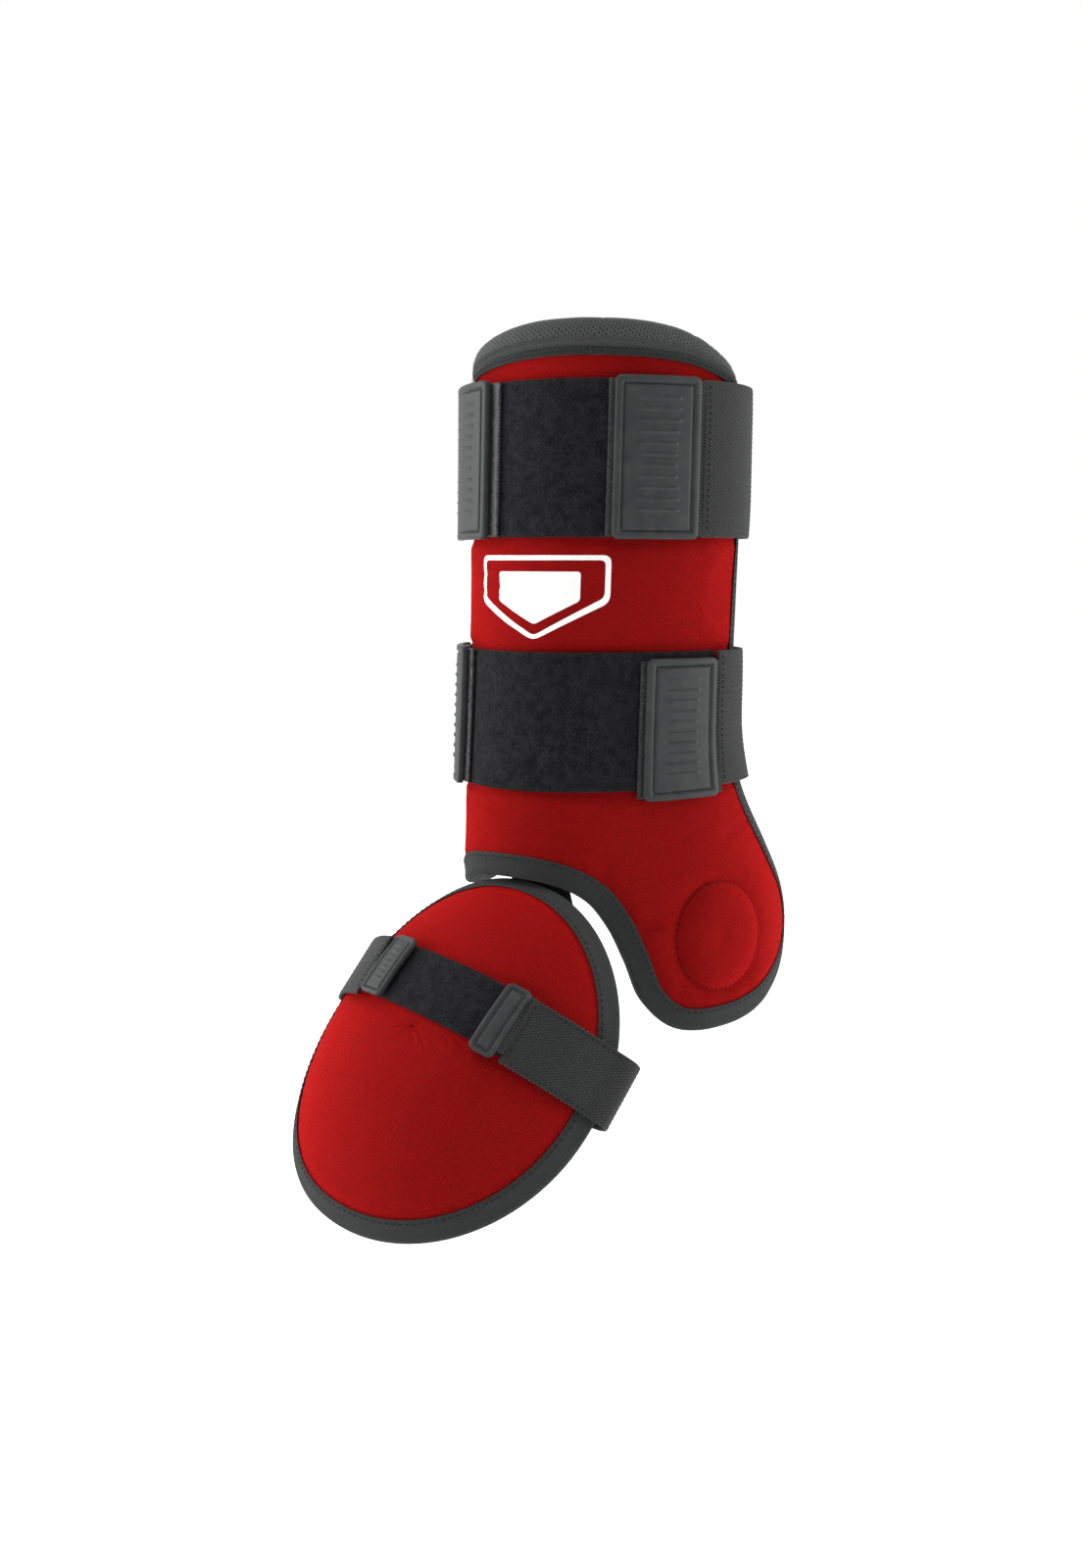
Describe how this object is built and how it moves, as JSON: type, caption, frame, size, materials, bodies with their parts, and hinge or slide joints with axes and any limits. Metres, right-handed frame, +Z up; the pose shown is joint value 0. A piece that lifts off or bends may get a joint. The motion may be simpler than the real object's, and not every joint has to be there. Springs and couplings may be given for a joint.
{
  "type": "batting leg guard",
  "caption": "Left leg guard: padded shin shell with ankle lobe, elastic straps with rubber pull tabs, and a hinged detachable foot guard.",
  "frame": {"origin": "the ankle joint's centre, on the axis of the leg that wears the guard", "axes": "+Z up the leg, -Y towards the toe, +X to the outer side of the left leg"},
  "size_m": [0.1745, 0.2688, 0.417],
  "materials": {
    "red_fabric": "brushed knit laminated to neoprene",
    "shell_plastic": "moulded shell",
    "foam": "closed-cell foam",
    "mesh_lining": "spacer mesh",
    "black_tape": "woven binding tape",
    "loop_fabric": "napped loop fabric",
    "hook_plastic": "hook fastener",
    "black_elastic": "woven elastic",
    "black_rubber": "satin moulded rubber",
    "white_print": "screen print"
  },
  "bodies": {
    "leg_guard": {"shin_cover": "red_fabric", "shin_hard_shell": "shell_plastic", "shin_foam": "foam", "shin_lining": "mesh_lining", "shin_binding": "black_tape", "top_collar": "mesh_lining", "ankle_disc": "red_fabric", "printed_badge": "white_print", "upper_loop_panel": "loop_fabric", "upper_elastic": "black_elastic", "lower_loop_panel": "loop_fabric", "lower_elastic": "black_elastic", "connector_loop_patch": "loop_fabric", "connector_upper_tab": "black_tape"},
    "foot_guard": {"foot_cover": "red_fabric", "foot_hard_shell": "shell_plastic", "foot_foam": "foam", "foot_lining": "mesh_lining", "foot_binding": "black_tape", "foot_loop_strip": "loop_fabric", "foot_elastic": "black_elastic", "connector_lower_tab": "black_tape"},
    "upper_left_tab": {"upper_left_pull_tab": "black_rubber", "upper_left_hook_patch": "hook_plastic"},
    "upper_right_tab": {"upper_right_pull_tab": "black_rubber", "upper_right_hook_patch": "hook_plastic"},
    "lower_left_tab": {"lower_left_pull_tab": "black_rubber", "lower_left_hook_patch": "hook_plastic"},
    "lower_right_tab": {"lower_right_pull_tab": "black_rubber", "lower_right_hook_patch": "hook_plastic"},
    "foot_left_tab": {"foot_left_pull_tab": "black_rubber", "foot_left_hook_patch": "hook_plastic"},
    "foot_right_tab": {"foot_right_pull_tab": "black_rubber", "foot_right_hook_patch": "hook_plastic"}
  },
  "joints": [
    {"name": "ankle_flex", "type": "hinge", "parent": "leg_guard", "child": "foot_guard", "pos_m": [0.023, -0.0605, 0.0265], "axis": [1, 0, 0], "range_deg": [-6, 30]},
    {"name": "upper_right_peel", "type": "hinge", "parent": "leg_guard", "child": "upper_right_tab", "pos_m": [0.0747, -0.0071, 0.2289], "axis": [0.015, 0.0018, 0.9999], "range_deg": [0, 70]},
    {"name": "upper_left_peel", "type": "hinge", "parent": "leg_guard", "child": "upper_left_tab", "pos_m": [-0.0488, -0.0555, 0.2291], "axis": [0.0087, -0.0222, -0.9997], "range_deg": [0, 70]},
    {"name": "lower_right_peel", "type": "hinge", "parent": "leg_guard", "child": "lower_right_tab", "pos_m": [0.0757, 0.0074, 0.0994], "axis": [-0.0312, -0.0106, 0.9995], "range_deg": [0, 70]},
    {"name": "lower_left_peel", "type": "hinge", "parent": "leg_guard", "child": "lower_left_tab", "pos_m": [-0.0581, -0.0435, 0.1031], "axis": [0.0076, -0.0311, -0.9995], "range_deg": [0, 70]},
    {"name": "foot_right_peel", "type": "hinge", "parent": "foot_guard", "child": "foot_right_tab", "pos_m": [0.0724, -0.1245, -0.027], "axis": [0.012, 0.7317, 0.6816], "range_deg": [0, 70]},
    {"name": "foot_left_peel", "type": "hinge", "parent": "foot_guard", "child": "foot_left_tab", "pos_m": [-0.0163, -0.1381, -0.0119], "axis": [-0.0046, -0.7264, -0.6872], "range_deg": [0, 70]}
  ]
}
